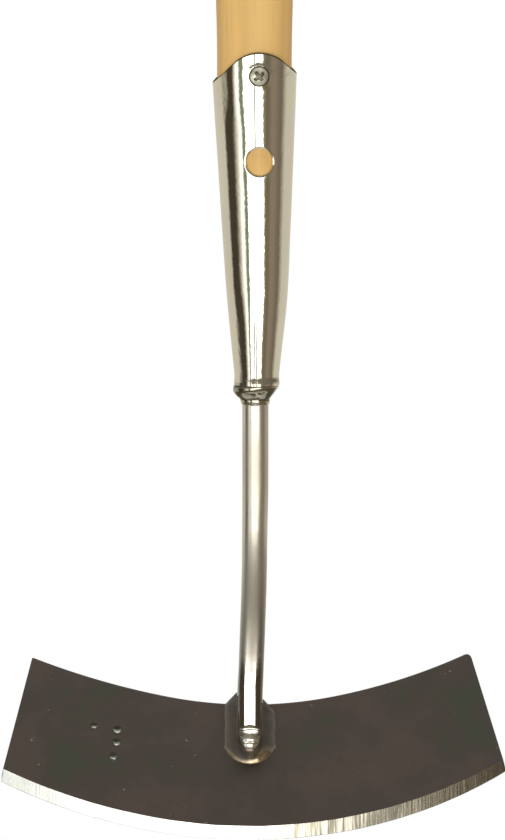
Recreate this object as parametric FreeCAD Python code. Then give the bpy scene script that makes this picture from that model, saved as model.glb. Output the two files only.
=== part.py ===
import FreeCAD, Part
import math
import os

# Crescent push hoe: a wooden handle in a rolled sheet socket, a round bar neck
# with one gentle bend, and a flat arc-shaped blade welded under the neck's end.
#
# Millimetres.  +Z runs up the handle's axis, the blade's upper face looks
# towards -Y and +Z, and X runs across the blade.  The origin is on the handle's
# axis, where the straight grip begins just above the socket.

V = FreeCAD.Vector
AXIS_Z = V(0, 0, 1)

# Handle
grip_radius = 14.0            # a 28 mm handle
handle_length = 1300.0
handle_end_round = 9.0        # rounding of the far end
wood_radius_at_rim = 13.67
wood_clearance = 0.05         # between the tapered wood and the sheet

# Socket, rolled from sheet.  It has a long gentle cone and a short steep one.
sheet_thickness = 1.5
rim_z = -32.0                 # level of the rim's side corners
rim_radius = 15.22            # outside radii
break_z = -111.6
break_radius = 11.05
socket_end_z = -143.3
socket_end_radius = 7.55
break_shift = 1.0             # the socket was rolled slightly out of true
socket_end_shift = 0.8
wood_end_z = -105.0

# Rim, punched to a rounded gable that carries the screw
gable_height = 9.3
gable_radius = 13.0
gable_angle = 43.0
gable_shift = 1.8

# Features on the socket's front line, which is turned a little to +X
front_turn = 6.5
seam_gap = 1.4
nail_hole_radius = 5.0
nail_hole_z = -62.2

# Countersunk wood screw
screw_z = -31.3
screw_head_radius = 3.6
screw_head_height = 2.1
screw_head_rim = 0.3
screw_shank_radius = 2.0
screw_length = 25.0
screw_tip = 5.0
screw_sink = 0.5              # the head's face lies this far below the sheet's front line
screw_clearance = 0.1
recess_width = 0.9
recess_span = 4.4
recess_depth = 1.5

# Neck: 9.4 mm round bar
neck_radius = 4.7
neck_shift = 0.33
neck_insert = 15.0            # length inside the socket
bend_start_z = -194.7
bend_radius = 90.0
bend_angle = 34.0
lap_end = 27.1                # bar past the bend, up to its cut end
neck_lean = 0.9               # the neck leans to -X by this angle

# Blade, in its own plane.  Distances run down the blade from the bend's end.
# Each long edge is an arc that goes on at another radius past crest_half_width.
# A pair gives the left and the right side, which are a little unequal.
blade_thickness = 3.0
crest_half_width = 30.0
blade_top = 11.4              # middle of the upper edge
top_middle_radius = 136.4
top_side_radii = (256.0, 195.0)
top_half_widths = (78.4, 79.1)
bevel_line = 61.5             # middle of the line where the ground bevel starts
bevel_middle_radius = 165.6
bevel_side_radii = (197.0, 163.5)
bevel_half_widths = (88.7, 90.9)
blade_bottom = 65.4           # middle of the cutting edge
cutting_middle_radius = 171.7
cutting_side_radii = (189.6, 156.8)
cutting_half_widths = (89.5, 91.9)
edge_land = 0.25              # flat left on the cutting edge
corner_radius = 2.0
blade_shift = -1.56

# Weld beads
ring_bulge_radius = 7.7
ring_length = 6.3
ring_root = 2.2               # penetration into the socket's mouth
fillet_half_width = 9.4
fillet_height = 6.5
fillet_top_half_width = 4.9
toe_top_radius = 3.0
toe_height = 8.8


def disc(radius, x, z):
    """A horizontal circle as a wire."""
    return Part.Wire(Part.makeCircle(radius, V(x, 0, z), AXIS_Z))


def stacked_cone(sections):
    """A solid through horizontal circles given as (radius, x, z)."""
    return Part.makeLoft([disc(*section) for section in sections], True, True)


def turned(shape):
    """Turn a shape from the -Y line to the socket's front line."""
    shape.rotate(V(0, 0, 0), AXIS_Z, front_turn)
    return shape


def blend(z, z_a, value_a, z_b, value_b):
    """Linear value at z between two stations."""
    return value_a + (value_b - value_a) * (z - z_a) / (z_b - z_a)


def socket_sections(inset):
    """The socket's cone, moved inwards by inset."""
    crest_z = rim_z + gable_height + 1.0
    crest_radius = blend(crest_z, rim_z, wood_radius_at_rim, 0.0, grip_radius)
    crest_radius += wood_clearance + sheet_thickness
    return [
        (crest_radius - inset, 0.0, crest_z),
        (rim_radius - inset, 0.0, rim_z),
        (break_radius - inset, break_shift, break_z),
        (socket_end_radius - inset, socket_end_shift, socket_end_z),
    ]


def make_screw():
    """Countersunk screw along +Y, its head's face in the plane y = 0."""
    head_cone = screw_head_height - screw_head_rim
    shank = screw_length - screw_head_height - screw_tip
    inwards = V(0, 1, 0)
    screw = Part.makeCylinder(screw_head_radius, screw_head_rim, V(0, 0, 0), inwards)
    cone = Part.makeCone(screw_head_radius, screw_shank_radius, head_cone,
                         V(0, screw_head_rim, 0), inwards)
    body = Part.makeCylinder(screw_shank_radius, shank, V(0, screw_head_height, 0), inwards)
    tip = Part.makeCone(screw_shank_radius, 0.2, screw_tip,
                        V(0, screw_head_height + shank, 0), inwards)
    return screw.fuse([cone, body, tip]).removeSplitter()


def make_screw_seat():
    """Countersunk hole in the sheet, open to the outside, in the screw's frame."""
    mouth = 3.0
    head_radius = screw_head_radius + screw_clearance
    hole_radius = screw_shank_radius + screw_clearance
    mouth_depth = mouth + screw_head_rim
    outside = Part.makeCylinder(head_radius, mouth_depth, V(0, -mouth, 0), V(0, 1, 0))
    cone = Part.makeCone(head_radius, hole_radius, screw_head_height - screw_head_rim,
                         V(0, screw_head_rim, 0), V(0, 1, 0))
    hole = Part.makeCylinder(hole_radius, mouth, V(0, screw_head_height - 0.1, 0), V(0, 1, 0))
    return outside.fuse([cone, hole])


def placed_screw(shape):
    """Move a shape from the screw's own frame to its seat in the socket."""
    seat_y = screw_sink - blend(screw_z, rim_z, rim_radius, break_z, break_radius)
    shape.translate(V(0, seat_y, screw_z))
    return turned(shape)


def make_fixing_screw():
    screw = make_screw()
    for angle in (45, 135):
        slot = Part.makeBox(recess_span, recess_depth, recess_width,
                            V(-recess_span / 2, 0, -recess_width / 2))
        slot.rotate(V(0, 0, 0), V(0, 1, 0), angle)
        screw = screw.cut(slot)
    return placed_screw(screw)


def make_handle():
    taper_end = blend(wood_end_z, rim_z, rim_radius, break_z, break_radius)
    taper_end -= sheet_thickness + wood_clearance
    taper_shift = blend(wood_end_z, rim_z, 0.0, break_z, break_shift)
    taper = stacked_cone([
        (taper_end, taper_shift, wood_end_z),
        (wood_radius_at_rim, 0.0, rim_z),
        (grip_radius, 0.0, 0.0),
    ])
    grip_length = handle_length + wood_end_z
    grip = Part.makeCylinder(grip_radius, grip_length)
    end_edges = [e for e in grip.Edges if e.BoundBox.ZMin > grip_length - 1.0]
    grip = grip.makeFillet(handle_end_round, end_edges)
    return grip.fuse(taper).cut(placed_screw(make_screw()))


def gable_cutter():
    """Everything above the rim's gable, as one prism along Y."""
    crest_z = rim_z + gable_height
    flank = math.radians(gable_angle)
    arc_x = gable_radius * math.sin(flank)
    arc_z = crest_z - gable_radius * (1 - math.cos(flank))
    reach = 2 * rim_radius
    low_z = arc_z - (reach - arc_x) * math.tan(flank)
    high_z = crest_z + 20.0
    left = V(gable_shift - arc_x, -reach, arc_z)
    right = V(gable_shift + arc_x, -reach, arc_z)
    crest = V(gable_shift, -reach, crest_z)
    far_left = V(gable_shift - reach, -reach, low_z)
    far_right = V(gable_shift + reach, -reach, low_z)
    top_right = V(gable_shift + reach, -reach, high_z)
    top_left = V(gable_shift - reach, -reach, high_z)
    outline = Part.Wire([
        Part.makeLine(far_left, left),
        Part.Arc(left, crest, right).toShape(),
        Part.makeLine(right, far_right),
        Part.makeLine(far_right, top_right),
        Part.makeLine(top_right, top_left),
        Part.makeLine(top_left, far_left),
    ])
    return Part.Face(outline).extrude(V(0, 2 * reach, 0))


def make_socket():
    shell = stacked_cone(socket_sections(0.0)).cut(stacked_cone(socket_sections(sheet_thickness)))
    depth = 2 * rim_radius
    seam = Part.makeBox(seam_gap, depth, 200.0, V(-seam_gap / 2, 0, socket_end_z - 10.0))
    nail_hole = Part.makeCylinder(nail_hole_radius, depth, V(0, 0, nail_hole_z), V(0, -1, 0))
    cutters = [turned(seam), turned(nail_hole), placed_screw(make_screw_seat()), gable_cutter()]
    return shell.cut(cutters)


def blade_frame(shape):
    """Place a shape drawn flat: X across, Y up the blade, Z out of its upper face.

    The flat origin goes to the foot of the bend's end on the blade's upper face.
    """
    turn = math.radians(bend_angle)
    normal = V(0, -math.cos(turn), math.sin(turn))
    bend_end = V(0, -bend_radius * (1 - math.cos(turn)), bend_start_z - bend_radius * math.sin(turn))
    shape.rotate(V(0, 0, 0), V(1, 0, 0), 90.0 - bend_angle)
    shape.translate(bend_end - normal * neck_radius)
    return shape


def leaning(shape):
    """Lean the neck to -X about the socket's mouth."""
    shape.rotate(V(neck_shift, 0, socket_end_z), V(0, 1, 0), neck_lean)
    return shape


def make_neck():
    turn = math.radians(bend_angle)
    start = V(neck_shift, 0, socket_end_z + neck_insert)
    bend_start = V(neck_shift, 0, bend_start_z)

    def on_bend(angle):
        return V(neck_shift, -bend_radius * (1 - math.cos(angle)),
                 bend_start_z - bend_radius * math.sin(angle))

    bend_end = on_bend(turn)
    bar_end = bend_end + V(0, -math.sin(turn), -math.cos(turn)) * lap_end
    path = Part.Wire([
        Part.makeLine(start, bend_start),
        Part.Arc(bend_start, on_bend(turn / 2), bend_end).toShape(),
        Part.makeLine(bend_end, bar_end),
    ])
    section = Part.Wire(Part.makeCircle(neck_radius, start, AXIS_Z))
    return leaning(path.makePipeShell([section], True, False))


def edge_point(lowest, middle_radius, side_radius, x, level):
    """Point of a long blade edge at x, on its middle arc or the side arc beyond it."""
    sine = crest_half_width / middle_radius
    cosine = math.sqrt(1 - sine ** 2)
    if abs(x) <= crest_half_width:
        rise = middle_radius - math.sqrt(middle_radius ** 2 - x ** 2)
    else:
        centre_x = crest_half_width - side_radius * sine
        centre_rise = middle_radius - (middle_radius - side_radius) * cosine
        rise = centre_rise - math.sqrt(side_radius ** 2 - (abs(x) - centre_x) ** 2)
    return V(x, rise - lowest, level)


def long_edge(lowest, middle_radius, side_radii, half_widths, level):
    """One long edge from its left corner to its right one, as three tangent arcs."""
    left, right = half_widths
    crest = crest_half_width
    stations = (-left, -(left + crest) / 2, -crest, 0, crest, (crest + right) / 2, right)
    points = [edge_point(lowest, middle_radius, side_radii[x > 0], x, level) for x in stations]
    return [Part.Arc(points[i], points[i + 1], points[i + 2]).toShape() for i in (0, 2, 4)]


def blade_outline(bottom_edge):
    """Closed outline of the blade over one of its lower edges, corners still sharp."""
    level = bottom_edge[0].Vertexes[0].Z
    top_edge = long_edge(blade_top, top_middle_radius, top_side_radii, top_half_widths, level)
    ends = [Part.makeLine(top_edge[i].Vertexes[i].Point, bottom_edge[i].Vertexes[i].Point) for i in (0, -1)]
    return Part.Wire(Part.__sortEdges__(top_edge + ends + bottom_edge))


def make_blade():
    upper_face = blade_outline(long_edge(bevel_line, bevel_middle_radius, bevel_side_radii,
                                         bevel_half_widths, 0.0))
    cutting_edge = blade_outline(long_edge(blade_bottom, cutting_middle_radius, cutting_side_radii,
                                           cutting_half_widths, edge_land - blade_thickness))
    blade = Part.makeLoft([upper_face, cutting_edge], True, True)
    land = Part.Face(cutting_edge).extrude(V(0, 0, -edge_land))
    blade = blade.fuse(land).removeSplitter()
    top_corners = [e for e in blade.Edges
                   if e.BoundBox.YLength < 0.01 and e.BoundBox.XLength < 0.01
                   and e.BoundBox.YMin > -blade_top and abs(e.BoundBox.XMin) > crest_half_width + 1]
    blade = blade.makeFillet(corner_radius, top_corners)
    blade.translate(V(blade_shift, 0, 0))
    return blade_frame(blade)


def rounded_strip(half_width, top, end, level):
    """Outline of a strip across the blade's middle, with a half-round lower end."""
    arc_end = V(0, -end - half_width, level)
    return Part.Wire([
        Part.makeLine(V(-half_width, -end, level), V(-half_width, -top, level)),
        Part.makeLine(V(-half_width, -top, level), V(half_width, -top, level)),
        Part.makeLine(V(half_width, -top, level), V(half_width, -end, level)),
        Part.Arc(V(half_width, -end, level), arc_end, V(-half_width, -end, level)).toShape(),
    ])


def make_blade_weld(neck):
    """Side fillets along the bar and a sloping toe over its end."""
    fillet = Part.makeLoft([
        rounded_strip(fillet_half_width, blade_top + 0.6, lap_end, 0.0),
        rounded_strip(fillet_top_half_width, blade_top + 2.0, lap_end, fillet_height),
    ], True, True)
    toe = Part.makeCone(fillet_half_width, toe_top_radius, toe_height, V(0, -lap_end, 0))
    weld = fillet.fuse(toe)
    bend_drop = bend_radius * math.sin(math.radians(bend_angle)) + socket_end_z - bend_start_z
    weld.translate(V(neck_shift - bend_drop * math.tan(math.radians(neck_lean)), 0, 0))
    return largest_solid(blade_frame(weld).cut(neck))


def make_socket_weld(socket, neck):
    """Bead ring that closes the socket's mouth around the bar."""
    top_z = socket_end_z + ring_root
    bottom_z = socket_end_z - ring_length
    bead = Part.Arc(V(neck_radius, 0, bottom_z),
                    V(ring_bulge_radius, 0, socket_end_z - 0.4 * ring_length),
                    V(socket_end_radius - 0.2, 0, socket_end_z)).toShape()
    root_radius = socket_end_radius - 0.5 * sheet_thickness
    profile = Part.Wire([
        bead,
        Part.makeLine(V(socket_end_radius - 0.2, 0, socket_end_z), V(root_radius, 0, socket_end_z)),
        Part.makeLine(V(root_radius, 0, socket_end_z), V(root_radius, 0, top_z)),
        Part.makeLine(V(root_radius, 0, top_z), V(0, 0, top_z)),
        Part.makeLine(V(0, 0, top_z), V(0, 0, bottom_z)),
        Part.makeLine(V(0, 0, bottom_z), V(neck_radius, 0, bottom_z)),
    ])
    ring = Part.Face(profile).revolve(V(0, 0, 0), AXIS_Z, 360)
    ring.translate(V((neck_shift + socket_end_shift) / 2, 0, 0))
    return largest_solid(ring.cut([neck, socket]))


def largest_solid(shape):
    return max(shape.Solids, key=lambda solid: solid.Volume)


def main():
    os.makedirs("parts", exist_ok=True)
    neck = make_neck()
    socket = make_socket()
    pieces = {
        "handle": make_handle(),
        "socket": socket,
        "fixing_screw": make_fixing_screw(),
        "neck_bar": neck,
        "blade": make_blade(),
        "socket_weld": make_socket_weld(socket, neck),
        "blade_weld": make_blade_weld(neck),
    }
    for name, shape in pieces.items():
        solid_count = len(shape.Solids)
        print(name, "solids", solid_count, "valid", shape.isValid(), "volume", round(shape.Volume, 1))
        shape.exportStep(os.path.join("parts", name + ".step"))


main()
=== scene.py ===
import math

import bmesh
import bpy
from mathutils import Matrix, Vector, noise


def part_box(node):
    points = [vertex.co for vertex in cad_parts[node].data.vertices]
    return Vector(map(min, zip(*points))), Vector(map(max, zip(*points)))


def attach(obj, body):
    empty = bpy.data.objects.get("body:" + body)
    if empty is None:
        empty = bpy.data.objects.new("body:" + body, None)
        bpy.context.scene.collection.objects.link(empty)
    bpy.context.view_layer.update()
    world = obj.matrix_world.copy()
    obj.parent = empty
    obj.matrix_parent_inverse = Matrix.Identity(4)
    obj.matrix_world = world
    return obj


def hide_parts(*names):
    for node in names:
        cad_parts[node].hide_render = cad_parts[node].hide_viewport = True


# An arc-bladed push hoe: the visible surfaces of its seven pieces, built round
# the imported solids.  Blender is in metres; the functions that shape a piece
# work in millimetres in the same frame and scale once, in new_piece().

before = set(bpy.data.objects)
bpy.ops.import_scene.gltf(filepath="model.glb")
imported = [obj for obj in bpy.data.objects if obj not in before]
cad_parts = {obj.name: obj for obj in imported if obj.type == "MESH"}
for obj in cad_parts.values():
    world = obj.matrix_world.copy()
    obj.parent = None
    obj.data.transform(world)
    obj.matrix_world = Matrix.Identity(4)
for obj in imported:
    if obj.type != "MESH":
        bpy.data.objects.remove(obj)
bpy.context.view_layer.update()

MM = 0.001


def box_mm(node):
    """A node's lowest and highest corners in millimetres."""
    low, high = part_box(node)
    return low / MM, high / MM


handle_low, handle_high = box_mm("handle")
socket_low, socket_high = box_mm("socket")
blade_low, blade_high = box_mm("blade")

# Handle
GRIP_RADIUS = (handle_high.x - handle_low.x) / 2
WOOD_RADIUS_AT_RIM = 13.67
HANDLE_END_ROUND = 9.0

# Socket
SHEET = 1.5
RIM_Z = -32.0
RIM_RADIUS = 15.22
BREAK_Z = -111.6
BREAK_RADIUS = 11.05
SOCKET_END_Z = socket_low.z
SOCKET_END_RADIUS = 7.6
BREAK_SHIFT = 1.0
SOCKET_END_SHIFT = 0.8
CREST_Z = socket_high.z
GABLE_RADIUS = 13.0
GABLE_ANGLE = math.radians(43.0)
GABLE_SHIFT = 1.8
FRONT_TURN = math.radians(6.5)
SEAM_GAP = 1.4
NAIL_HOLE_Z = -62.2
NAIL_HOLE_RADIUS = 5.0

# Screw
SCREW_Z = -31.3
SCREW_HEAD_RADIUS = 3.6
SCREW_HOLE_RADIUS = SCREW_HEAD_RADIUS + 0.15
SCREW_RIM_DEPTH = 0.35
SCREW_HEAD_DEPTH = 2.1
SCREW_DOME_RADIUS = 7.4
SCREW_SINK = 0.12
SCREW_SHANK_RADIUS = 2.0
SCREW_POINT_RADIUS = 0.25
SCREW_LENGTH = 25.0
SCREW_TIP = 5.0
RECESS_TURNS = (math.radians(38.0), math.radians(128.0))
RECESS_HALF_LENGTH = 2.3
RECESS_HALF_WIDTH = 0.66

# Neck bar
NECK_RADIUS = 4.7
NECK_SHIFT = 0.33
NECK_DRIFT = -1.95
BEND_START_Z = -194.7
BEND_RADIUS = 90.0
BEND_ANGLE = math.radians(34.0)
LAP_END = 27.1
NECK_INSERT = 15.0
NECK_STRAIGHT = SOCKET_END_Z + NECK_INSERT - BEND_START_Z
NECK_ARC = BEND_RADIUS * BEND_ANGLE
NECK_LENGTH = NECK_STRAIGHT + NECK_ARC + LAP_END
KINK = NECK_LENGTH - LAP_END + 3.6      # where the bar's front starts to dip into the weld

# Blade, measured down its own plane from the bend's end.  Each long edge is
# (its middle's place, middle radius, side radii, half widths), with left first.
BLADE_THICKNESS = 3.0
CREST_HALF_WIDTH = 30.0
TOP_EDGE = (11.4, 136.4, (256.0, 195.0), (78.4, 79.1))
BEVEL_LINE = (61.5, 165.6, (197.0, 163.5), (88.7, 90.9))
CUTTING_EDGE = (65.4, 171.7, (189.6, 156.8), (89.5, 91.9))
BLADE_SHIFT = -1.56
BLADE_TOP = TOP_EDGE[0]
LEFT_CORNER_ROUND = 0.6
RIGHT_CORNER_ROUND = 2.4
BLADE_END_ROUND = 0.35
CUTTING_LAND = 0.22

# Round centre-punch dots near the blade's left end: (across, down, radius)
PUNCH_DOTS = ((-56.1, 20.2, 1.2), (-47.7, 21.8, 1.5), (-47.9, 27.0, 1.4), (-49.2, 33.0, 1.4))
PUNCH_DEPTH = 0.42

# Welds.  The mouth weld runs from inside the socket to its toe on the bar; the
# lap weld is measured from the bar's cut end.
MOUTH_WELD_TOP = SOCKET_END_Z + 1.2
MOUTH_WELD_DROP = 7.2
MOUTH_WELD_TOE = SOCKET_END_Z - MOUTH_WELD_DROP
MOUTH_WELD_BORE = 4.3
MOUTH_WELD_GROOVE_Z = MOUTH_WELD_TOE + 2.3
LAP_HALF_WIDTH = 9.4
LAP_NOSE = 7.4
LAP_NOSE_RADIUS = 4.75
LAP_SKIRT_HEIGHT = 6.4
LAP_START_HALF_WIDTH = 4.9
LAP_UNDERSIDE = -1.3


def lerp(a, b, t):
    """The value a share t of the way from a to b."""
    return a + (b - a) * t


def clamp(x, low=0.0, high=1.0):
    """x kept between low and high."""
    return max(low, min(high, x))


def smooth(t):
    """A soft step from 0 to 1 as t goes from 0 to 1."""
    t = clamp(t)
    return t * t * (3 - 2 * t)


def sag(radius, reach):
    """How far a circle's edge has fallen, reach away from its highest point."""
    return radius - math.sqrt(radius ** 2 - reach ** 2)


def bump(x, width):
    """A bell of height 1."""
    return math.exp(-((x / width) ** 2))


def wander(x, y, z, scale):
    """Smooth fixed noise from about -1 to 1, with features of size scale."""
    return noise.noise(Vector((x / scale, y / scale, z / scale)))


def stations(*spans):
    """Values from start to end of each (start, end, step) span, joined."""
    values = []
    for start, end, step in spans:
        count = max(1, round(abs(end - start) / step))
        values += [lerp(start, end, i / count) for i in range(count)]
    return values + [spans[-1][1]]


# ---------------------------------------------------------------- materials

def new_material(name):
    """(a new material, its nodes, its links, its main shader)"""
    material = bpy.data.materials.new(name)
    material.use_nodes = True
    nodes = material.node_tree.nodes
    return material, nodes, material.node_tree.links, nodes["Principled BSDF"]


def texture_coords(nodes, links, scale):
    """Object coordinates stretched by scale."""
    coords = nodes.new("ShaderNodeTexCoord")
    mapping = nodes.new("ShaderNodeMapping")
    mapping.inputs["Scale"].default_value = scale
    links.new(coords.outputs["Object"], mapping.inputs["Vector"])
    return mapping.outputs["Vector"]


def position(nodes, links):
    """Outputs X, Y and Z of the object coordinates, in metres."""
    split = nodes.new("ShaderNodeSeparateXYZ")
    links.new(texture_coords(nodes, links, (1, 1, 1)), split.inputs["Vector"])
    return split.outputs


def noise_node(nodes, links, vector, scale, detail=3.0, roughness=0.5, distortion=0.0):
    """Layered noise from 0 to 1."""
    node = nodes.new("ShaderNodeTexNoise")
    node.inputs["Scale"].default_value = scale
    node.inputs["Detail"].default_value = detail
    node.inputs["Roughness"].default_value = roughness
    node.inputs["Distortion"].default_value = distortion
    links.new(vector, node.inputs["Vector"])
    return node.outputs["Fac"]


def ramp_node(nodes, links, factor, stops):
    """A color that runs through (position, color) stops."""
    node = nodes.new("ShaderNodeValToRGB")
    ramp = node.color_ramp
    while len(ramp.elements) < len(stops):
        ramp.elements.new(0.5)
    for element, (position, color) in zip(ramp.elements, stops):
        element.position = position
        element.color = (*color, 1.0)
    links.new(factor, node.inputs["Fac"])
    return node.outputs["Color"]


def map_range(nodes, links, value, low, high, to_low, to_high):
    """A value from low to high carried over to to_low to to_high, and held there outside."""
    node = nodes.new("ShaderNodeMapRange")
    node.inputs["From Min"].default_value = low
    node.inputs["From Max"].default_value = high
    node.inputs["To Min"].default_value = to_low
    node.inputs["To Max"].default_value = to_high
    links.new(value, node.inputs["Value"])
    return node.outputs["Result"]


def set_or_link(links, socket, value):
    """Feed a socket from a node's output, a number or a color."""
    if isinstance(value, bpy.types.NodeSocket):
        links.new(value, socket)
    else:
        socket.default_value = (*value, 1.0) if isinstance(value, tuple) else value


def math_node(nodes, links, operation, *values):
    """The result of one math operation on outputs or numbers."""
    node = nodes.new("ShaderNodeMath")
    node.operation = operation
    for socket, value in zip(node.inputs, values):
        set_or_link(links, socket, value)
    return node.outputs[0]


def mix_colors(nodes, links, factor, a, b, blend="MIX"):
    """Color a blended towards b by factor."""
    mix = nodes.new("ShaderNodeMix")
    mix.data_type = "RGBA"
    mix.blend_type = blend
    for name, value in (("Factor", factor), ("A", a), ("B", b)):
        set_or_link(links, mix.inputs[name], value)
    return mix.outputs["Result"]


def add_bump(nodes, links, shader, height, strength, distance):
    """Surface relief on a shader, with distance in metres."""
    node = nodes.new("ShaderNodeBump")
    node.inputs["Strength"].default_value = strength
    node.inputs["Distance"].default_value = distance
    links.new(height, node.inputs["Height"])
    links.new(node.outputs["Normal"], shader.inputs["Normal"])


# Heights in metres between which the bar's plating turns from satin to bright.
BRIGHT_BELOW = (-0.240, -0.248)


def plated_material(name, color, dull, roughness, ripple):
    """Slightly cloudy, rippled zinc plate; roughness is (above, below) the levels BRIGHT_BELOW."""
    material, nodes, links, shader = new_material(name)
    shader.inputs["Metallic"].default_value = 1.0
    vector = texture_coords(nodes, links, (1, 1, 0.35))
    clouds = noise_node(nodes, links, vector, 90.0, 4.0)
    tint = ramp_node(nodes, links, clouds, [(0.35, color), (0.7, dull)])
    links.new(tint, shader.inputs["Base Color"])
    base = map_range(nodes, links, position(nodes, links)["Z"], *BRIGHT_BELOW, *roughness)
    uneven = map_range(nodes, links, clouds, 0.3, 0.7, 0.85, 1.2)
    links.new(math_node(nodes, links, "MULTIPLY", base, uneven), shader.inputs["Roughness"])
    if ripple:
        fine = noise_node(nodes, links, texture_coords(nodes, links, (1, 1, 1)), 420.0, 3.0)
        add_bump(nodes, links, shader, fine, ripple, 0.0004)
    return material


def wood_material():
    """Turned ash: pale tan with long faint growth lines and fine pores."""
    material, nodes, links, shader = new_material("ash_wood")
    along = texture_coords(nodes, links, (1, 1, 0.03))
    broad = noise_node(nodes, links, along, 95.0, 3.0, 0.55, 0.35)
    rings = ramp_node(nodes, links, broad, [
        (0.30, (0.70, 0.425, 0.145)),
        (0.48, (0.79, 0.50, 0.18)),
        (0.62, (0.83, 0.535, 0.20)),
        (0.75, (0.74, 0.46, 0.165)),
    ])
    pores = noise_node(nodes, links, texture_coords(nodes, links, (1, 1, 0.02)), 900.0, 2.0, 0.7)
    dark = ramp_node(nodes, links, pores, [(0.30, (0.91, 0.89, 0.85)), (0.46, (1, 1, 1))])
    grain = mix_colors(nodes, links, 0.8, rings, dark, "MULTIPLY")
    links.new(grain, shader.inputs["Base Color"])
    shader.inputs["Roughness"].default_value = 0.46
    shader.inputs["Specular IOR Level"].default_value = 0.35
    add_bump(nodes, links, shader, pores, 0.12, 0.0002)
    return material


def blade_face_material():
    """Dark heat-treated plate with a mottled lacquer, faint rub marks and pale specks."""
    material, nodes, links, shader = new_material("dark_plate")
    vector = texture_coords(nodes, links, (1, 1, 1))
    mottle = noise_node(nodes, links, vector, 34.0, 6.0, 0.65)
    tint = ramp_node(nodes, links, mottle, [
        (0.34, (0.026, 0.031, 0.018)),
        (0.47, (0.038, 0.028, 0.021)),
        (0.66, (0.054, 0.037, 0.030)),
    ])
    specks = noise_node(nodes, links, vector, 520.0, 2.0, 0.5)
    pale = ramp_node(nodes, links, specks, [(0.735, (0, 0, 0)), (0.78, (0.10, 0.10, 0.085))])
    links.new(mix_colors(nodes, links, 1.0, tint, pale, "ADD"), shader.inputs["Base Color"])
    shader.inputs["Metallic"].default_value = 0.25
    links.new(map_range(nodes, links, mottle, 0.3, 0.7, 0.50, 0.62), shader.inputs["Roughness"])
    shader.inputs["Specular IOR Level"].default_value = 0.3
    add_bump(nodes, links, shader, specks, 0.10, 0.0002)
    return material


def bevel_material():
    """Ground steel with grinding lines, its colour a painted highlight at the left that fades to
    painted shade at the right.
    """
    material, nodes, links, shader = new_material("ground_edge")
    shader.inputs["Metallic"].default_value = 1.0
    lines = noise_node(nodes, links, texture_coords(nodes, links, (1, 0.05, 0.05)), 900.0, 3.0, 0.7)
    patches = noise_node(nodes, links, texture_coords(nodes, links, (1, 0.4, 0.4)), 130.0, 3.0, 0.6)
    across = position(nodes, links)["X"]
    # scale here is painted light: 0 at the left end gives the painted highlight, 1 at the right end
    # gives painted shade.
    scale = map_range(nodes, links, across, -0.008, 0.078, 0.0, 1.0)
    streak = math_node(nodes, links, "MULTIPLY",
                       map_range(nodes, links, lines, 0.35, 0.65, -0.30, 0.30),
                       map_range(nodes, links, scale, 0.0, 0.4, 0.12, 1.0))
    color = ramp_node(nodes, links, math_node(nodes, links, "ADD", scale, streak), [
        (0.05, (0.96, 0.95, 0.91)),
        (0.35, (0.50, 0.46, 0.36)),
        (0.62, (0.18, 0.165, 0.13)),
        (0.80, (0.22, 0.19, 0.15)),
        (0.95, (0.25, 0.215, 0.17)),
    ])
    links.new(color, shader.inputs["Base Color"])
    satin = math_node(nodes, links, "ADD",
                      map_range(nodes, links, patches, 0.35, 0.65, 0.0, 0.10),
                      map_range(nodes, links, across, -0.05, 0.0, 0.30, 0.22))
    links.new(satin, shader.inputs["Roughness"])
    add_bump(nodes, links, shader, lines, 0.35, 0.0003)
    return material


def tinted_metal(name, colors, roughness, scale_at_zero=False):
    """Grainy metal whose color follows the tint attribute from 0 to 1.

    With scale_at_zero, a tint near 0 is dull, hardly metallic mill scale.
    """
    material, nodes, links, shader = new_material(name)
    shader.inputs["Metallic"].default_value = 1.0
    attribute = nodes.new("ShaderNodeAttribute")
    attribute.attribute_name = "tint"
    amount = attribute.outputs["Fac"]
    stops = [(i / (len(colors) - 1), color) for i, color in enumerate(colors)]
    links.new(ramp_node(nodes, links, amount, stops), shader.inputs["Base Color"])
    grain = noise_node(nodes, links, texture_coords(nodes, links, (1, 1, 1)), 500.0, 3.0)
    if scale_at_zero:
        metallic = map_range(nodes, links, amount, 0.0, 0.3, 0.25, 1.0)
        links.new(metallic, shader.inputs["Metallic"])
        satin = map_range(nodes, links, amount, 0.0, 0.3, 0.58, roughness)
    else:
        satin = map_range(nodes, links, grain, 0.3, 0.7, roughness * 0.75, roughness * 1.4)
    links.new(satin, shader.inputs["Roughness"])
    add_bump(nodes, links, shader, grain, 0.12, 0.0004)
    return material


ZINC = (0.82, 0.78, 0.68)
ZINC_DULL = (0.76, 0.71, 0.60)
# Painted shade colour for the mouth weld.
MOUTH_WELD_SHADE = (0.07, 0.06, 0.045)
SCALE = (0.088, 0.077, 0.062)
STRAW = (0.50, 0.39, 0.27)
zinc = plated_material("zinc_plate", ZINC, ZINC_DULL, (0.08, 0.08), 0.13)
bar_zinc = plated_material("bar_plate", (0.80, 0.75, 0.66), (0.72, 0.67, 0.57), (0.36, 0.08), 0.0)
# Dark steel for the sheet's cut edges, also used as painted shade along the socket's rim.
cut_edge_and_rim_shade = tinted_metal("cut_edge_and_rim_shade", [(0.09, 0.075, 0.05), (0.12, 0.10, 0.07)], 0.5)
# The screw's second colour is painted shade for its recess and the rim of its head.
screw_zinc = tinted_metal("screw_plate", [(0.80, 0.77, 0.64), (0.14, 0.13, 0.09)], 0.40)
wood = wood_material()
dark_plate = blade_face_material()
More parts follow.
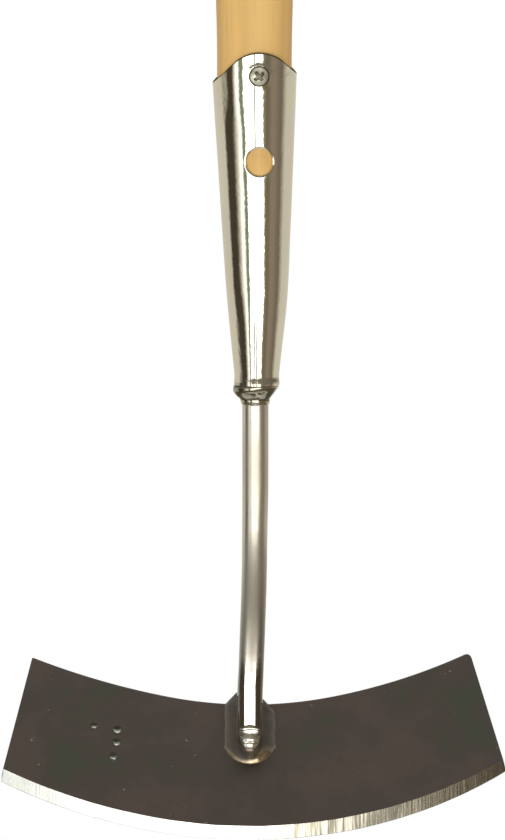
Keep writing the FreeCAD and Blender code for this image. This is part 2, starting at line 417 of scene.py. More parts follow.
# Bare steel inside the punch dots; its lighter colour is a painted glint on each dot's lower wall.
bare_steel_and_glint = tinted_metal("bare_steel_and_glint", [(0.10, 0.105, 0.085), (0.42, 0.45, 0.38)], 0.32)
ground_edge = bevel_material()
mouth_metal = tinted_metal("mouth_weld_plate", [(0.62, 0.57, 0.45), MOUTH_WELD_SHADE], 0.14)
lap_metal = tinted_metal("lap_weld_plate",
                         [SCALE, STRAW, (0.55, 0.51, 0.42), (0.80, 0.76, 0.66)], 0.24,
                         scale_at_zero=True)


# ------------------------------------------------------------- mesh helpers

def new_piece(name, verts, faces, materials, node, crease_degrees=35.0,
              face_materials=None, tint=None):
    """A finished piece from millimetre vertices, riding on the one body."""
    mesh = bpy.data.meshes.new(name)
    mesh.from_pydata([Vector(v) * MM for v in verts], [], faces)
    for material in materials:
        mesh.materials.append(material)
    if face_materials:
        mesh.polygons.foreach_set("material_index", face_materials)
    if tint:
        attribute = mesh.attributes.new("tint", "FLOAT", "POINT")
        attribute.data.foreach_set("value", tint)
    work = bmesh.new()
    work.from_mesh(mesh)
    bmesh.ops.remove_doubles(work, verts=work.verts, dist=0.002 * MM)
    loose = [v for v in work.verts if not v.link_faces]
    bmesh.ops.delete(work, geom=loose, context="VERTS")
    bmesh.ops.recalc_face_normals(work, faces=work.faces)
    work.to_mesh(mesh)
    work.free()
    mesh.shade_smooth()
    mesh.set_sharp_from_angle(angle=math.radians(crease_degrees))
    piece = bpy.data.objects.new(name, mesh)
    bpy.context.collection.objects.link(piece)
    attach(piece, "root")
    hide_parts(node)
    return piece


def grid_faces(rows, columns, closed=False, offset=0):
    """Quads of a rows by columns grid of vertices; closed joins the last column to the first."""
    faces = []
    for i in range(rows - 1):
        for j in range(columns if closed else columns - 1):
            k = (j + 1) % columns
            faces.append((offset + i * columns + j, offset + i * columns + k,
                          offset + (i + 1) * columns + k, offset + (i + 1) * columns + j))
    return faces


def tube_faces(rows, segments, start_cap=True):
    """Faces of a tube of rings, closed at its last ring and, unless told otherwise, its first."""
    faces = grid_faces(rows, segments, closed=True)
    if start_cap:
        faces.append(tuple(range(segments - 1, -1, -1)))
    last = (rows - 1) * segments
    faces.append(tuple(range(last, last + segments)))
    return faces


# ------------------------------------- socket's cone, and the handle in it

def socket_shift(z):
    """The socket's sideways offset at height z."""
    if z > BREAK_Z:
        return BREAK_SHIFT * clamp((RIM_Z - z) / (RIM_Z - BREAK_Z))
    return lerp(BREAK_SHIFT, SOCKET_END_SHIFT, (BREAK_Z - z) / (BREAK_Z - SOCKET_END_Z))


def socket_radius(z):
    """Outside radius: a gentle cone that turns softly into a steep one."""
    gentle = (RIM_RADIUS - BREAK_RADIUS) / (RIM_Z - BREAK_Z)
    steep = (BREAK_RADIUS - SOCKET_END_RADIUS) / (BREAK_Z - SOCKET_END_Z)
    softness = 4.0
    above_rim = max(0.0, z - RIM_Z) * (gentle - 0.01)
    past_break = softness * math.log1p(math.exp((BREAK_Z - z) / softness))
    return BREAK_RADIUS + gentle * (z - BREAK_Z) - (steep - gentle) * past_break - above_rim


def handle_radius(z):
    """The wood's radius: inside the socket, flaring out above its rim, then the plain grip."""
    if z < RIM_Z:
        return min(WOOD_RADIUS_AT_RIM, socket_radius(z) - SHEET - 0.06)
    taper = lerp(WOOD_RADIUS_AT_RIM - 0.25, GRIP_RADIUS, smooth((z + 26.0) / 34.0))
    sway = 0.05 * wander(0.0, 3.0, z, 60.0)
    return min(GRIP_RADIUS, taper + sway * smooth(z / 40.0))


def make_handle():
    """The pole, tapered in the socket and rounded at its far end."""
    segments = 96
    top = handle_high.z
    rings = [(handle_radius(z), z) for z in
             stations((handle_low.z, RIM_Z, 6.0), (RIM_Z, 20.0, 2.0),
                      (20.0, top - HANDLE_END_ROUND, 12.0))]
    arc_steps = 10
    for i in range(1, arc_steps + 1):
        angle = math.pi / 2 * i / arc_steps
        rings.append((GRIP_RADIUS - HANDLE_END_ROUND * (1 - math.cos(angle)),
                      top - HANDLE_END_ROUND * (1 - math.sin(angle))))
    verts = []
    for radius, z in rings:
        shift = socket_shift(z)
        for j in range(segments):
            angle = 2 * math.pi * j / segments
            verts.append((shift + radius * math.cos(angle), radius * math.sin(angle), z))
    faces = tube_faces(len(rings), segments)
    return new_piece("ash_handle", verts, faces, [wood], "handle", 50.0)


# ------------------------------------------------------------------- socket

def gable_z(x):
    """Height of the punched rim over the point x across the socket."""
    reach = abs(x - GABLE_SHIFT)
    arc_reach = GABLE_RADIUS * math.sin(GABLE_ANGLE)
    if reach < arc_reach:
        return CREST_Z - GABLE_RADIUS + math.sqrt(GABLE_RADIUS ** 2 - reach ** 2)
    drop = GABLE_RADIUS * (1 - math.cos(GABLE_ANGLE))
    return CREST_Z - drop - (reach - arc_reach) * math.tan(GABLE_ANGLE)


def pressed_form(angle, z, radius):
    """How far the pressed sheet stands off its plain cone.  Angle 0 faces -Y, positive to +X."""
    arc = angle * radius
    low_part = smooth((BREAK_Z + 9.0 - z) / 22.0)
    high_part = smooth((z + 52.0) / 13.0)
    crease = 0.12 * math.tanh(arc / 0.30) * bump(arc, 3.0) * smooth((z - NAIL_HOLE_Z) / 3.0)
    groove = -0.30 * bump(arc + 0.5, 0.7) * low_part
    from_flank, from_twist = angle + 0.56, angle + 0.69
    flank = 1.4 * from_flank * bump(from_flank, 0.45) * low_part
    twist = 1.9 * from_twist * bump(from_twist, 0.25) * high_part
    flare = 0.60 * bump(z - SOCKET_END_Z, 2.4)
    sway = 0.05 * wander(math.sin(angle) * 12, math.cos(angle) * 12, z, 14.0)
    return crease + groove + flank + twist + flare + sway * smooth((CREST_Z - z) / 8.0)


def hole_plan(x, z):
    """(distance to the nearest opening's centre, its radius, its height), x across the front."""
    openings = ((NAIL_HOLE_Z, NAIL_HOLE_RADIUS), (SCREW_Z, SCREW_HOLE_RADIUS))
    centre, radius = min(openings, key=lambda o: math.hypot(x, z - o[0]) - o[1])
    return math.hypot(x, z - centre), radius, centre


def make_socket():
    """The rolled sheet: an outer and an inner grid, open at the seam, the holes and both ends.

    Rows are closer at the two openings and the rim; points near an opening are
    moved onto its edge, and faces wholly inside it are left out.
    """
    columns = 220
    spread = 0.55            # how strongly columns crowd towards the front
    edge_round = 0.3
    snap = 0.12              # points this near an opening's edge are moved onto it
    nail_low, nail_high, screw_low = -74.0, -50.0, -42.0
    rim_low = CREST_Z - 0.6
    heights = stations((SOCKET_END_Z, nail_low, 1.0), (nail_low, nail_high, 0.3),
                       (nail_high, screw_low, 0.7), (screw_low, rim_low, 0.3),
                       (rim_low, CREST_Z, 0.12))
    rows = len(heights)
    outer, inner, inside, dull = [], [], [], []
    for height in heights:
        for j in range(columns):
            t = 2 * j / (columns - 1) - 1
            turn = t - spread * math.sin(math.pi * t) / math.pi
            seam_half = SEAM_GAP / 2 / socket_radius(height)
            around = turn * (math.pi - seam_half)
            angle = around + FRONT_TURN
            rim = gable_z(RIM_RADIUS * math.sin(angle))
            z = SOCKET_END_Z + ((height - SOCKET_END_Z) * (rim - SOCKET_END_Z)
                                / (CREST_Z - SOCKET_END_Z))
            radius = socket_radius(z)
            at_front = abs(around) < math.pi / 2
            across = radius * math.sin(around) if at_front else 99.0
            distance, hole_radius, hole_z = hole_plan(across, z)
            inside.append(distance < hole_radius)
            if distance < hole_radius + snap:
                scale = hole_radius / max(distance, 1e-6)
                across, z = across * scale, hole_z + (z - hole_z) * scale
                angle = math.asin(across / radius) + FRONT_TURN
                distance = hole_radius
            boss, lip = 0.07 * bump(distance - hole_radius, 0.9), 0.0
            if hole_z == NAIL_HOLE_Z:
                boss, lip = 0.0, 0.22 * clamp(1 - (distance - hole_radius) / 0.5) ** 2
            rim_gap = (rim - z) if height > screw_low else 9.0
            # Faces within 0.75 mm of the rim take the dark edge material: painted shade along the
            # rim. The sheet's cut edges use it too.
            dull.append(rim_gap < 0.75)
            rolled = edge_round * clamp(1 - rim_gap / 0.5) ** 2
            wave = pressed_form(angle, z, radius)
            shift = socket_shift(z)
            r_out = radius + wave + boss - lip - rolled
            r_in = radius + min(0.0, wave) - SHEET + 0.5 * rolled
            for radial, store in ((r_out, outer), (r_in, inner)):
                store.append((shift + radial * math.sin(angle), -radial * math.cos(angle), z))
    shell = len(outer)
    faces, kinds = [], []
    for i in range(rows - 1):
        for j in range(columns - 1):
            a, b = i * columns + j, i * columns + j + 1
            c, d = b + columns, a + columns
            corners = (a, b, c, d)
            if all(inside[v] for v in corners):
                continue
            faces.append(corners)
            faces.append((shell + d, shell + c, shell + b, shell + a))
            kinds += [int(all(dull[v] for v in corners)), 0]
    edges = {}
    for face in faces:
        for a, b in zip(face, face[1:] + face[:1]):
            edges.setdefault(frozenset((a, b)), []).append((a, b))
    for uses in edges.values():
        if len(uses) == 1 and uses[0][0] < shell:
            a, b = uses[0]
            faces.append((b, a, a + shell, b + shell))
            kinds.append(int(not (inside[a] or inside[b])))
    return new_piece("rolled_socket", outer + inner, faces, [zinc, cut_edge_and_rim_shade], "socket",
                     40.0, face_materials=kinds)


# -------------------------------------------------------------------- screw

def recess_depth(x, z):
    """Depth of the cross recess at a point of the head's face."""
    depth = 0.0
    for turn in RECESS_TURNS:
        along = abs(x * math.cos(turn) + z * math.sin(turn))
        across = abs(-x * math.sin(turn) + z * math.cos(turn))
        arm = (clamp((RECESS_HALF_LENGTH - along) / 0.9)
               * clamp((RECESS_HALF_WIDTH - across) / 0.26))
        depth = max(depth, arm)
    return depth


def make_screw():
    """Raised countersunk head with a cross recess, its shank and its point.

    The profile is (radius, depth); the head's face has no depth of its own yet.
    """
    segments, steps = 96, 40
    dome_height = sag(SCREW_DOME_RADIUS, SCREW_HEAD_RADIUS)
    seat = socket_radius(SCREW_Z) - SCREW_SINK
    profile = [(SCREW_HEAD_RADIUS * i / steps, None) for i in range(steps + 1)]
    profile += [(SCREW_HEAD_RADIUS, SCREW_RIM_DEPTH), (SCREW_SHANK_RADIUS, SCREW_HEAD_DEPTH),
                (SCREW_SHANK_RADIUS, SCREW_LENGTH - SCREW_TIP),
                (SCREW_POINT_RADIUS, SCREW_LENGTH)]
    verts, recess_and_rim_shade = [], []
    for radius, depth in profile:
        for j in range(segments):
            angle = 2 * math.pi * j / segments
            x, z = radius * math.cos(angle), radius * math.sin(angle)
            inwards, dark = depth, 0.0
            if depth is None:
                recess = recess_depth(x, z)
                inwards = sag(SCREW_DOME_RADIUS, radius) - dome_height + recess
                # Painted shade: the cross recess and the head's outer rim, where it meets the
                # sheet, are darkened.
                dark = max(0.8 * clamp(recess * 2.0), smooth((radius - 3.05) / 0.35))
            verts.append((x, inwards - seat, SCREW_Z + z))
            recess_and_rim_shade.append(dark)
    faces = tube_faces(len(profile), segments, start_cap=False)
    turn = Matrix.Rotation(FRONT_TURN, 3, "Z")
    placed = [turn @ Vector(v) for v in verts]
    return new_piece("cross_screw", placed, faces, [screw_zinc], "fixing_screw",
                     30.0, tint=recess_and_rim_shade)


# --------------------------------------------------------------------- neck

def neck_station(travel):
    """Centre and direction of the bar, travel millimetres below its upper end.

    The bar drifts to the left a little above the bend and mostly through it.
    """
    above_bend = 0.15 * smooth((travel - 50.0) / 30.0)
    through_bend = 0.85 * clamp((travel - 78.0) / 52.0) ** 1.25
    x = NECK_SHIFT + NECK_DRIFT * (above_bend + through_bend)
    if travel < NECK_STRAIGHT:
        return Vector((x, 0, SOCKET_END_Z + NECK_INSERT - travel)), 0.0
    angle = min(travel - NECK_STRAIGHT, NECK_ARC) / BEND_RADIUS
    centre = Vector((x, -BEND_RADIUS * (1 - math.cos(angle)),
                     BEND_START_Z - BEND_RADIUS * math.sin(angle)))
    past = max(0.0, travel - NECK_STRAIGHT - NECK_ARC)
    return centre + past * Vector((0, -math.sin(angle), -math.cos(angle))), angle


def neck_radius(travel):
    """The bar was drawn a little thinner through the bend."""
    thinner = 0.17 * smooth((travel - 45.0) / 30.0)
    return NECK_RADIUS - thinner + 0.08 * smooth((travel - 115.0) / 15.0)


def bar_section(around, power):
    """Unit radius of the bar's section: round at power 2, squarer above it."""
    return (abs(math.sin(around)) ** power + abs(math.cos(around)) ** power) ** (-1 / power)


def make_neck():
    """The bar: squarer in front above its bend, round through it, dipping into the lap weld."""
    segments = 96
    verts = []
    travels = stations((0.0, KINK - 3.0, 1.0), (KINK - 3.0, KINK + 3.0, 0.25),
                       (KINK + 3.0, NECK_LENGTH, 1.0))
    for travel in travels:
        centre, angle = neck_station(travel)
        front = Vector((0, -math.cos(angle), math.sin(angle)))
        from_end = min(travel, NECK_LENGTH - travel)
        rounding = 0.6 * clamp(1 - from_end / 0.8) ** 2
        for j in range(segments):
            around = 2 * math.pi * j / segments - math.pi
            radius = neck_radius(travel) - rounding
            squareness = 0.35 * bump(around, 1.0) * (1 - smooth((travel - 50.0) / 25.0))
            radius *= bar_section(around, 2.0 + squareness)
            dip = clamp((travel - KINK + 10.0) / 10.0) * clamp((NECK_LENGTH - travel) / 24.0)
            radius -= 0.20 * dip * max(0.0, math.cos(around))
            radius += 0.018 * wander(math.sin(around) * 4, math.cos(around) * 4, travel, 7.0)
            nick = bump(travel - 67.5 - 0.8 * around, 0.7) * bump(around - 0.15, 0.45)
            radius -= 0.05 * nick
            outwards = math.sin(around) * Vector((1, 0, 0)) + math.cos(around) * front
            verts.append(centre + radius * outwards)
    faces = tube_faces(len(travels), segments)
    return new_piece("bent_neck", verts, faces, [bar_zinc], "neck_bar", 50.0)


# -------------------------------------------------------------------- blade

BLADE_DOWN = Vector((0, -math.sin(BEND_ANGLE), -math.cos(BEND_ANGLE)))
BLADE_NORMAL = Vector((0, -math.cos(BEND_ANGLE), math.sin(BEND_ANGLE)))
BEND_END = Vector((0, -BEND_RADIUS * (1 - math.cos(BEND_ANGLE)),
                   BEND_START_Z - BEND_RADIUS * math.sin(BEND_ANGLE)))
FACE_ORIGIN = BEND_END - BLADE_NORMAL * NECK_RADIUS


def on_blade(x, down, height):
    """Point x across, down the blade and height above its upper face."""
    return Vector((x, 0, 0)) + FACE_ORIGIN + BLADE_DOWN * down + BLADE_NORMAL * height


def edge_point(edge, t):
    """Point (across, down) of a long blade edge, t from -1 at its left end to 1."""
    lowest, middle, side_radii, half_widths = edge
    side, outer = half_widths[t > 0], side_radii[t > 0]
    x = t * side
    if abs(x) <= CREST_HALF_WIDTH:
        return Vector((x, lowest - middle + math.sqrt(middle ** 2 - x ** 2)))
    sine = CREST_HALF_WIDTH / middle
    centre_x = CREST_HALF_WIDTH - outer * sine
    centre_rise = middle - (middle - outer) * math.sqrt(1 - sine ** 2)
    return Vector((x, lowest - centre_rise + math.sqrt(outer ** 2 - (abs(x) - centre_x) ** 2)))


def punch_dot(x, down):
    """(height, whether inside a dot, how near its lower wall, which sets a painted glint) for the
    dotted size mark.
    """
    height = 0.0
    for dot_x, dot_down, radius in PUNCH_DOTS:
        reach = math.hypot(x - dot_x, down - dot_down) / radius
        if reach < 1.0:
            # The lower wall of each dot gets a painted highlight; the upper wall stays dark.
            return -PUNCH_DEPTH * (1 - reach ** 2), True, (down - dot_down) / radius * 1.4 - 0.45
        height += 0.05 * bump(reach - 1.15, 0.2)
    return height, False, 0.0


def blade_columns():
    """Positions across the blade from -1 to 1, closer at the ends and at the dots."""
    half = BEVEL_LINE[3][0]
    across = stations((-half, -half + 2.5, 0.25), (-half + 2.5, -62.0, 1.2), (-62.0, -44.0, 0.25),
                      (-44.0, half - 2.5, 1.2), (half - 2.5, half, 0.25))
    return [x / half for x in across]


def rounded_corner(place, side, radius):
    """Pull a point near one upper corner onto that corner's rounding."""
    corner = edge_point(TOP_EDGE, side)
    along_top = (edge_point(TOP_EDGE, side * 0.97) - corner).normalized()
    along_end = (edge_point(BEVEL_LINE, side) - corner).normalized()
    offset = place - corner
    cross = along_top.x * along_end.y - along_top.y * along_end.x
    from_end = (offset.x * along_end.y - offset.y * along_end.x) / cross
    from_top = (along_top.x * offset.y - along_top.y * offset.x) / cross
    if from_end > radius or from_top > radius:
        return place
    u, v = clamp(1 - from_end / radius), clamp(1 - from_top / radius)
    pull_end = radius * u * (1 - math.sqrt(1 - v * v / 2))
    pull_top = radius * v * (1 - math.sqrt(1 - u * u / 2))
    return place + along_top * pull_end + along_end * pull_top


def make_blade():
    """The plate as one ring of points per column: face, ground bevel, land and underside."""
    edge_round, land = BLADE_END_ROUND, CUTTING_LAND
    rounding_steps, bevel_steps, under_steps = 4, 8, 26
    face_height = BEVEL_LINE[0] - TOP_EDGE[0]
    face_rows = stations((edge_round, 6.0, 0.5), (6.0, 27.0, 0.25), (27.0, face_height, 0.8))
    columns = blade_columns()
    verts, in_dot, dot_glint = [], [], []

    def add(place, height, dotted=False):
        """Keep one point of the plate, given across and down it and above its upper face."""
        inside, dot_side = False, 0.0
        if dotted:
            dot_height, inside, dot_side = punch_dot(place.x, place.y)
            height += dot_height + 0.04 * wander(place.x, place.y, 0, 28.0)
        place = rounded_corner(place, 1, RIGHT_CORNER_ROUND)
        place = rounded_corner(place, -1, LEFT_CORNER_ROUND)
        verts.append(on_blade(place.x + BLADE_SHIFT, place.y, height))
        in_dot.append(inside)
        dot_glint.append(smooth(dot_side * 1.3) if inside else 0.0)

    for t in columns:
        top, line, edge = (edge_point(which, t) for which in (TOP_EDGE, BEVEL_LINE, CUTTING_EDGE))
        line.y += 0.10 * wander(line.x, 0, 0, 9.0)
        nick = max(0.0, wander(edge.x, 9.0, 0, 2.5) - 0.45)
        edge.y += 0.12 * wander(edge.x, 5.0, 0, 6.0) - 0.25 * nick
        from_end = (1 - abs(t)) * line.length
        end_drop = edge_round * (1 - math.sqrt(1 - clamp(1 - from_end / edge_round) ** 2))
        for i in range(rounding_steps):
            angle = math.pi / 2 * i / rounding_steps
            drop = edge_round * (1 - math.sin(angle))
            inset = edge_round * (1 - math.cos(angle))
            add(top.lerp(line, inset / face_height), -max(drop, end_drop))
        for row in face_rows:
            add(top.lerp(line, row / face_height), -end_drop, row < face_height - 0.1)
        for i in range(1, bevel_steps + 1):
            share = i / bevel_steps
            add(line.lerp(edge, share), -share * (BLADE_THICKNESS - land) - end_drop * (1 - share))
        for i in range(under_steps + 1):
            share = i / under_steps
            lift = min(end_drop, land * 0.4) if share < 0.2 else end_drop
            add(edge.lerp(top, share), -BLADE_THICKNESS + lift)
    ring_size = len(verts) // len(columns)
    bevel_start = rounding_steps + len(face_rows) - 1
    faces, kinds = [], []
    for i in range(len(columns) - 1):
        for j in range(ring_size):
            k = (j + 1) % ring_size
            here, after = i * ring_size, (i + 1) * ring_size
            face = (here + j, here + k, after + k, after + j)
            faces.append(face)
            on_bevel = bevel_start <= j < bevel_start + bevel_steps
            in_a_dot = all(in_dot[v] for v in face)
            kinds.append(1 if on_bevel else 2 if in_a_dot else 0)
    for start in (0, (len(columns) - 1) * ring_size):
        faces.append(tuple(range(start, start + ring_size)))
        kinds.append(0)
    return new_piece("arc_blade", verts, faces, [dark_plate, ground_edge, bare_steel_and_glint], "blade",
                     28.0, face_materials=kinds, tint=dot_glint)


# -------------------------------------------------------------------- welds

def make_socket_weld():
    """Bead ring round the socket's mouth, heavier at the left, with a small toe bead below."""
    segments, steps = 128, 48
    top_z, bottom_z = MOUTH_WELD_TOP, MOUTH_WELD_TOE
    blob_places = ((-0.22, 2.9), (0.14, 3.5))      # (angle, distance below the socket's end)
    verts, tint = [], []
    for i in range(steps + 3):
        z = lerp(top_z, bottom_z, min(i, steps) / steps)
        for j in range(segments):
            angle = 2 * math.pi * j / segments
            left = 0.5 - 0.5 * math.sin(angle)
            low = (SOCKET_END_Z - z) / MOUTH_WELD_DROP
            cone = lerp(SOCKET_END_RADIUS + 0.45, NECK_RADIUS + 0.05,
                        smooth(low * 1.05) ** lerp(0.75, 1.7, left))
            bead = 0.55 * left * bump(z - (SOCKET_END_Z - 2.2), 2.2)
            groove = (-0.10 * bump(z - (SOCKET_END_Z + 0.1), 0.35)
                      - 0.22 * bump(z - MOUTH_WELD_GROOVE_Z, 0.45))
            small = 0.30 * bump(z - (bottom_z + 1.0), 0.7)
            blobs = sum(bump(math.hypot((angle - at) * 6.5, z - SOCKET_END_Z + below), 0.8)
                        for at, below in blob_places)
            radius = cone + bead + groove + small + 0.50 * blobs
            radius += 0.06 * wander(math.sin(angle) * 6, math.cos(angle) * 6, z, 2.0)
            radius = max(radius, NECK_RADIUS - 0.1)
            if i == 0:
                radius = socket_radius(z) - 0.2
            if i > steps:
                radius, z = MOUTH_WELD_BORE, lerp(bottom_z, top_z, i - steps - 1)
            shift = lerp(SOCKET_END_SHIFT, NECK_SHIFT, smooth(low))
            verts.append((shift + radius * math.sin(angle), -radius * math.cos(angle), z))
            # Painted shade: the weld is darkened below the socket's mouth except on the blobs, and
            # in the groove above the toe bead.
            shade_round_blobs = 0.55 * bump(z - (SOCKET_END_Z - 3.0), 2.6) * clamp(1 - 1.5 * blobs)
            tint.append(max(shade_round_blobs, 0.8 * bump(z - MOUTH_WELD_GROOVE_Z, 0.6)))
    faces = grid_faces(steps + 3, segments, closed=True)
    last = (steps + 2) * segments
    for j in range(segments):
        k = (j + 1) % segments
        faces.append((last + j, last + k, k, j))
    return new_piece("mouth_weld", verts, faces, [mouth_metal], "socket_weld",
                     60.0, tint=tint)


def lap_weld_surface(x, past_end):
    """(height, tint) of the weld over the blade: dark skirts, a bright nose over the bar's end."""
    nose = max(0.0, past_end) / LAP_NOSE
    reach = math.hypot(x / LAP_NOSE_RADIUS, nose)
    cover = lerp(-0.35, 0.14, smooth((past_end + 1.0) / 0.8))
    out = math.hypot(x, max(0.0, past_end)) / LAP_HALF_WIDTH
    skirt = LAP_SKIRT_HEIGHT * clamp((1 - out) / 0.52) ** 1.8
    crown = 0.0
    if reach < 1:
        crown = 4.6 + (LAP_NOSE_RADIUS + cover) * math.sqrt(1 - reach ** 2)
    if past_end < -0.9:
        crown = min(crown, 9.0)        # stays under the bar's surface
    ripple = 0.0
    if past_end > -1.0:
        ripple = -0.22 * bump(past_end - 0.2 + 0.08 * x, 0.35) - 0.30 * bump(past_end - 4.2, 0.4)
        ripple += 0.15 * bump(past_end - 2.0, 1.0)
    rough = 0.10 * wander(x, past_end, 0, 1.5) + 0.12 * wander(x, past_end, 7.0, 4.0)
    height = max(skirt, crown + ripple) + rough * smooth((1 - out) * 5)
    bright = smooth((crown - 5.6) / 1.6)
    inner = lerp(0.86, 0.68, smooth(x / 6.0 + 0.4))
    golden = 0.36 * smooth((out - inner + 0.08) / 0.2) * smooth((past_end - 1.5) / 4.0)
    golden *= 1 - smooth((out - 0.93) / 0.07)
    return height, max(bright, golden)


def make_blade_weld():
    """Fillets along both sides of the bar and a rippled nose over its end."""
    centre_x = NECK_SHIFT + NECK_DRIFT
    fan_steps, radial = 72, 60
    left_top, left_growth = BLADE_TOP - 4.8, 5.2
    right_top, right_growth = BLADE_TOP - 2.0, 5.5
    left = [(-math.pi / 2, down) for down in stations((left_top, LAP_END, 0.35))]
    fan = [(-math.pi / 2 + math.pi * i / fan_steps, LAP_END) for i in range(1, fan_steps)]
    right = [(math.pi / 2, down) for down in stations((LAP_END, right_top, 0.35))]
    path = left + fan + right
    verts, tint = [], []
    for layer in ("top", "under"):
        for angle, down in path:
            start, length = (left_top, left_growth) if angle < 0 else (right_top, right_growth)
            growth = clamp((down - start) / length)
            outer = lerp(LAP_START_HALF_WIDTH, LAP_HALF_WIDTH, growth)
            uneven = wander(math.sin(angle) * 9, down + math.cos(angle) * 9, 0, 3.5)
            outer += 0.25 * uneven * growth
            for i in range(radial + 1):
                rho = outer * (1 - i / radial)
                x, past_end = rho * math.sin(angle), down - LAP_END + rho * math.cos(angle)
                unit_x = x * LAP_HALF_WIDTH / outer if past_end <= 0 else x
                height, shade = lap_weld_surface(unit_x, past_end)
                if past_end <= 0:
                    start_height = min(height, 1.0 + 3.6 * (1 - rho / outer))
                    height = lerp(start_height, height, smooth(growth * 1.4))
                if layer == "under":
                    height = LAP_UNDERSIDE if i else LAP_UNDERSIDE + 0.5
                else:
                    height -= 0.10 * clamp(1 - i / 6)
                verts.append(on_blade(centre_x + x, LAP_END + past_end, height))
                tint.append(shade)
    columns = radial + 1
    count = len(path)
    under = count * columns
    faces = grid_faces(count, columns)
    faces += [tuple(reversed(f)) for f in grid_faces(count, columns, offset=under)]
    for i in range(count - 1):
        a, b = i * columns, (i + 1) * columns
        faces.append((a, b, b + under, a + under))
    for i, flip in ((0, True), (count - 1, False)):
        for j in range(radial):
            a = i * columns + j
            face = (a, a + 1, a + 1 + under, a + under)
            faces.append(face if flip else tuple(reversed(face)))
    return new_piece("lap_weld", verts, faces, [lap_metal], "blade_weld", 60.0,
                     tint=tint)


make_handle()
make_socket()
make_screw()
make_neck()
make_blade()
make_socket_weld()
make_blade_weld()


# --------------------------------------------------------- floor and lights

def make_floor():
    """A pale floor well below the hoe, which hangs from its handle."""
    radius, depth, corners = 0.9, 0.9, 64
    turns = [2 * math.pi * i / corners for i in range(corners)]
    verts = [(radius * math.cos(turn), radius * math.sin(turn), 0.0) for turn in turns]
    mesh = bpy.data.meshes.new("floor")
    mesh.from_pydata(verts, [], [tuple(range(corners))])
    floor = bpy.data.objects.new("floor", mesh)
    floor.location = (0, 0, blade_low.z * MM - depth)
    bpy.context.collection.objects.link(floor)
    material, _, _, shader = new_material("pale_floor")
    shader.inputs["Base Color"].default_value = (0.85, 0.85, 0.84, 1)
    shader.inputs["Emission Color"].default_value = (1, 1, 1, 1)
    shader.inputs["Emission Strength"].default_value = 0.25
    mesh.materials.append(material)


# Studio surroundings by direction.  Each belt is a list of (azimuth, color), with
# azimuth in degrees from -Y towards +X.
BACKDROP = (0.68, 0.65, 0.56)
SHADE = (0.065, 0.054, 0.040)
LEAF = (0.23, 0.29, 0.20)
WINDOW = (3.0, 3.0, 2.9)
LOW_SHADE = (0.17, 0.15, 0.11)
CEILING = (0.10, 0.09, 0.07)

# Elevations in degrees between which one belt gives way to the next.
LEVEL_TO_HIGH = (-3.6, 0.0)
HIGH_TO_UPPER = (8.0, 18.0)
UPPER_TO_CEILING = (50.0, 70.0)
LEVEL_TO_LOW = (-21.0, -26.0)
LEFT_SLANT = 0.12                       # the level belt reaches this much higher at the left
DIFFUSE_LIMIT = (2.1, 2.1, 2.05)        # the brightest a rough surface sees the surroundings

LEVEL_BELT = [
    (-180, BACKDROP), (-103, BACKDROP), (-95, SHADE), (-70, SHADE), (-66, (0.18, 0.16, 0.12)),
    (-61, (0.44, 0.42, 0.35)), (-55, (0.80, 0.79, 0.75)), (-48, (1.4, 1.4, 1.4)),
    (-39, (1.4, 1.45, 1.5)), (-36.5, LEAF), (-26.5, LEAF), (-25.5, WINDOW), (25.5, WINDOW),
    (27, (0.30, 0.30, 0.17)),
    (31, (0.24, 0.23, 0.14)), (36, (0.18, 0.155, 0.10)), (42, (0.21, 0.175, 0.135)),
    (50, (0.29, 0.24, 0.185)), (62, (0.28, 0.235, 0.18)), (72, (0.225, 0.185, 0.145)),
    (82, (0.19, 0.16, 0.125)), (88, (0.33, 0.29, 0.23)), (97, (0.57, 0.54, 0.45)),
    (103, BACKDROP), (180, BACKDROP),
]
HIGH_BELT = [
    (-180, (0.34, 0.35, 0.34)), (-115, (0.30, 0.34, 0.36)), (-60, (0.27, 0.27, 0.25)),
    (0, (0.25, 0.23, 0.18)), (45, (0.19, 0.165, 0.13)), (100, (0.14, 0.12, 0.095)),
    (150, (0.22, 0.20, 0.17)), (180, (0.34, 0.35, 0.34)),
]
UPPER_BELT = [
    (-180, (0.05, 0.042, 0.03)), (-85, (0.06, 0.05, 0.037)), (-40, (0.22, 0.21, 0.17)),
    (0, (0.25, 0.23, 0.18)), (40, (0.17, 0.15, 0.11)), (85, (0.06, 0.05, 0.035)),
    (180, (0.05, 0.042, 0.03)),
]


def belt_ramp(nodes, links, turn, belt):
    """The color of a belt at turn, which goes from 0 to 1 once round."""
    stops = [((azimuth + 180) / 360, color) for azimuth, color in belt]
    return ramp_node(nodes, links, turn, stops)


def heights(low, high):
    """Two elevations in degrees as heights on the unit sphere."""
    return math.sin(math.radians(low)), math.sin(math.radians(high))


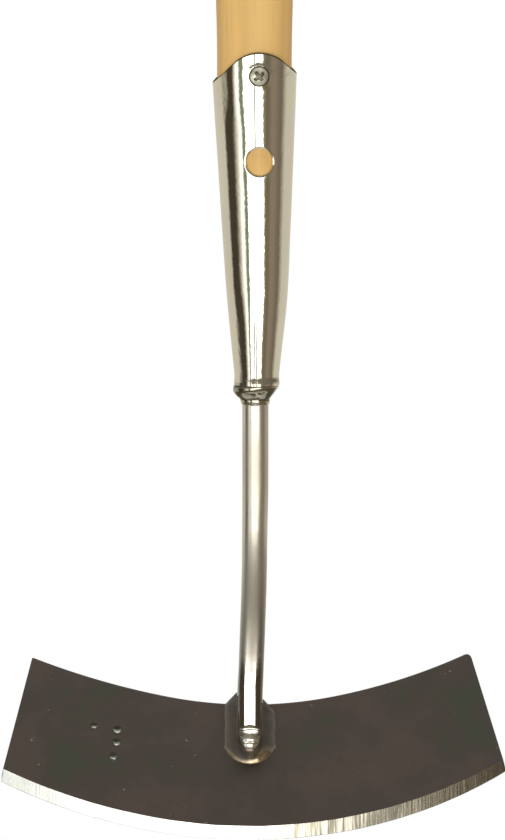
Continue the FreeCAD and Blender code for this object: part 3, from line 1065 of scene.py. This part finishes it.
def make_world():
    """Surroundings seen only in reflections and as light; the camera itself sees plain white."""
    world = bpy.data.worlds.new("studio")
    bpy.context.scene.world = world
    world.use_nodes = True
    nodes, links = world.node_tree.nodes, world.node_tree.links
    nodes.clear()
    coords = nodes.new("ShaderNodeTexCoord")
    split = nodes.new("ShaderNodeSeparateXYZ")
    links.new(coords.outputs["Generated"], split.inputs["Vector"])
    right, up = split.outputs["X"], split.outputs["Z"]
    forward = math_node(nodes, links, "MULTIPLY", split.outputs["Y"], -1.0)
    azimuth = math_node(nodes, links, "ARCTAN2", right, forward)
    turn = map_range(nodes, links, azimuth, -math.pi, math.pi, 0.0, 1.0)
    level, high, upper = (belt_ramp(nodes, links, turn, belt)
                          for belt in (LEVEL_BELT, HIGH_BELT, UPPER_BELT))
    leftwards = math_node(nodes, links, "MINIMUM", right, 0.0)
    slanted = math_node(nodes, links, "MULTIPLY_ADD", leftwards, LEFT_SLANT, up)
    to_high = map_range(nodes, links, slanted, *heights(*LEVEL_TO_HIGH), 0, 1)
    to_upper = map_range(nodes, links, up, *heights(*HIGH_TO_UPPER), 0, 1)
    to_ceiling = map_range(nodes, links, up, *heights(*UPPER_TO_CEILING), 0, 1)
    to_low = map_range(nodes, links, up, *heights(*LEVEL_TO_LOW), 0, 1)
    color = mix_colors(nodes, links, to_high, level, high)
    color = mix_colors(nodes, links, to_upper, color, upper)
    color = mix_colors(nodes, links, to_ceiling, color, CEILING)
    color = mix_colors(nodes, links, to_low, color, LOW_SHADE)
    path = nodes.new("ShaderNodeLightPath")
    color = mix_colors(nodes, links, path.outputs["Is Diffuse Ray"], color, DIFFUSE_LIMIT, "DARKEN")
    surround = nodes.new("ShaderNodeBackground")
    links.new(color, surround.inputs["Color"])
    white = nodes.new("ShaderNodeBackground")
    white.inputs["Color"].default_value = (1, 1, 1, 1)
    choose = nodes.new("ShaderNodeMixShader")
    links.new(path.outputs["Is Camera Ray"], choose.inputs["Fac"])
    links.new(surround.outputs[0], choose.inputs[1])
    links.new(white.outputs[0], choose.inputs[2])
    output = nodes.new("ShaderNodeOutputWorld")
    links.new(choose.outputs[0], output.inputs["Surface"])


def add_panel(name, place, size, radiance, turn=(0, 0, 0), glossy=True):
    """A soft rectangular light with a given brightness of its face."""
    light = bpy.data.lights.new(name, "AREA")
    light.shape = "RECTANGLE"
    light.size, light.size_y = size
    light.energy = radiance * math.pi * size[0] * size[1]
    lamp = bpy.data.objects.new(name, light)
    lamp.location = place
    lamp.rotation_euler = turn
    lamp.visible_glossy = glossy
    bpy.context.collection.objects.link(lamp)


def make_lights():
    """A panel overhead, mirrored in the bar's lower end, and a frontal fill without reflections."""
    height = 1.75
    add_panel("ceiling_panel", place=(-0.02 * height, 0.07 * height, blade_high.z * MM + height),
              size=(1.80 * height, 1.191 * height), radiance=2.6)
    add_panel("front_fill", place=(-0.25, -2.4, 0.2), size=(1.6, 1.6), radiance=2.9,
              turn=(math.radians(90), 0, 0), glossy=False)


# ------------------------------------------------------------------- camera

VIEW_DOWN = math.radians(4.0)
VIEW_DISTANCE = 8.0
FRAME_HEIGHT = 0.3024
SENSOR = 36.0
AIM = Vector((-0.69, 0.0, -155.96)) * MM


def make_camera():
    """Long lens from the front, a little above, framed on the head."""
    backwards = Vector((0, -math.cos(VIEW_DOWN), math.sin(VIEW_DOWN)))
    data = bpy.data.cameras.new("camera")
    data.sensor_width = SENSOR
    data.lens = SENSOR * VIEW_DISTANCE / FRAME_HEIGHT
    camera = bpy.data.objects.new("camera", data)
    camera.location = AIM + backwards * VIEW_DISTANCE
    camera.rotation_euler = (-backwards).to_track_quat("-Z", "Y").to_euler()
    bpy.context.collection.objects.link(camera)
    bpy.context.scene.camera = camera


make_camera()
make_floor()
make_world()
make_lights()
bpy.context.scene.view_settings.view_transform = "Standard"
